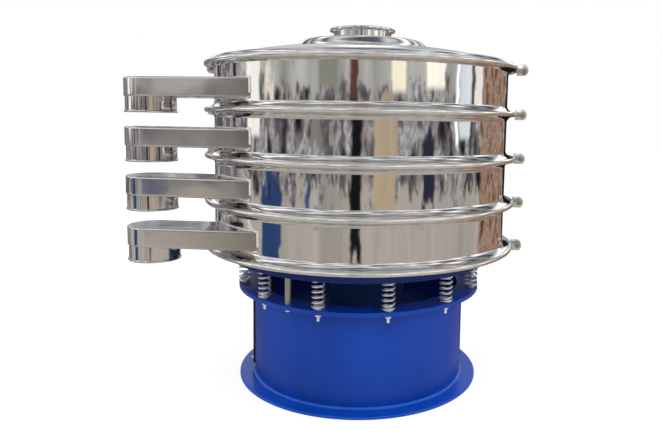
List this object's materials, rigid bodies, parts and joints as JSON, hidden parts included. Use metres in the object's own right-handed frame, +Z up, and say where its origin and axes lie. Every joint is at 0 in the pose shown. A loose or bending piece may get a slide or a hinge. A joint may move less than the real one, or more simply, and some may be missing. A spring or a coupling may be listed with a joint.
{
  "type": "rotary vibrating screen",
  "caption": "Round vibrating screen: clamped stainless sieve frames with tangential outlets, domed lid with feed inlet, on springs over a blue cylindrical base.",
  "frame": {"origin": "on the floor, on the drum's vertical axis, in the plane of the foot flange", "axes": "+Z up along the drum axis, -X the way the outlets point, -Y the front"},
  "size_m": [1.403, 1.2012, 1.3545],
  "materials": {
    "blue_paint": "gloss",
    "black_rubber": "matte",
    "black_paint": "satin",
    "grey_steel": "satin",
    "zinc_steel": "bright zinc",
    "spring_steel": "bright zinc",
    "motor_paint": "satin",
    "polished_stainless": "mirror polished",
    "clamp_stainless": "bright",
    "sieve_mesh": "woven wire",
    "white_rubber": "matte"
  },
  "bodies": {
    "base": {"floor_flange": "blue_paint", "base_shell": "blue_paint", "base_top_flange": "blue_paint", "access_gasket": "black_rubber", "access_cover": "black_paint", "limit_posts": "grey_steel", "lower_spring_seats": "zinc_steel", "spring_01": "spring_steel", "spring_02": "spring_steel", "spring_03": "spring_steel", "spring_04": "spring_steel", "spring_05": "spring_steel", "spring_06": "spring_steel", "spring_07": "spring_steel", "spring_08": "spring_steel", "spring_09": "spring_steel", "spring_10": "spring_steel", "spring_11": "spring_steel", "spring_12": "spring_steel"},
    "vibrating_body": {"upper_spring_seats": "zinc_steel", "table_rim": "blue_paint", "table_plate": "blue_paint", "motor": "motor_paint", "eccentric_weight": "grey_steel", "motor_terminal_box": "motor_paint", "screen_frame_1": "polished_stainless", "screen_frame_2": "polished_stainless", "screen_frame_3": "polished_stainless", "screen_frame_4": "polished_stainless", "outlet_chute_1": "polished_stainless", "outlet_chute_2": "polished_stainless", "outlet_chute_3": "polished_stainless", "outlet_chute_4": "polished_stainless", "clamp_ring_1": "clamp_stainless", "clamp_ring_2": "clamp_stainless", "clamp_ring_3": "clamp_stainless", "clamp_ring_4": "clamp_stainless", "clamp_ring_5": "clamp_stainless", "sieve_1": "sieve_mesh", "sieve_2": "sieve_mesh", "sieve_3": "sieve_mesh", "bottom_tray": "polished_stainless", "lid": "polished_stainless", "lid_seal": "white_rubber", "inlet": "polished_stainless"}
  },
  "joints": [
    {"name": "spring_suspension", "type": "slide", "parent": "base", "child": "vibrating_body", "axis": [0, 0, 1], "range_m": [-0.005, 0.005], "stiffness_N_per_m": 400000, "springref_m": 0.0084, "deforming": ["spring_01", "spring_02", "spring_03", "spring_04", "spring_05", "spring_06", "spring_07", "spring_08", "spring_09", "spring_10", "spring_11", "spring_12"]}
  ]
}
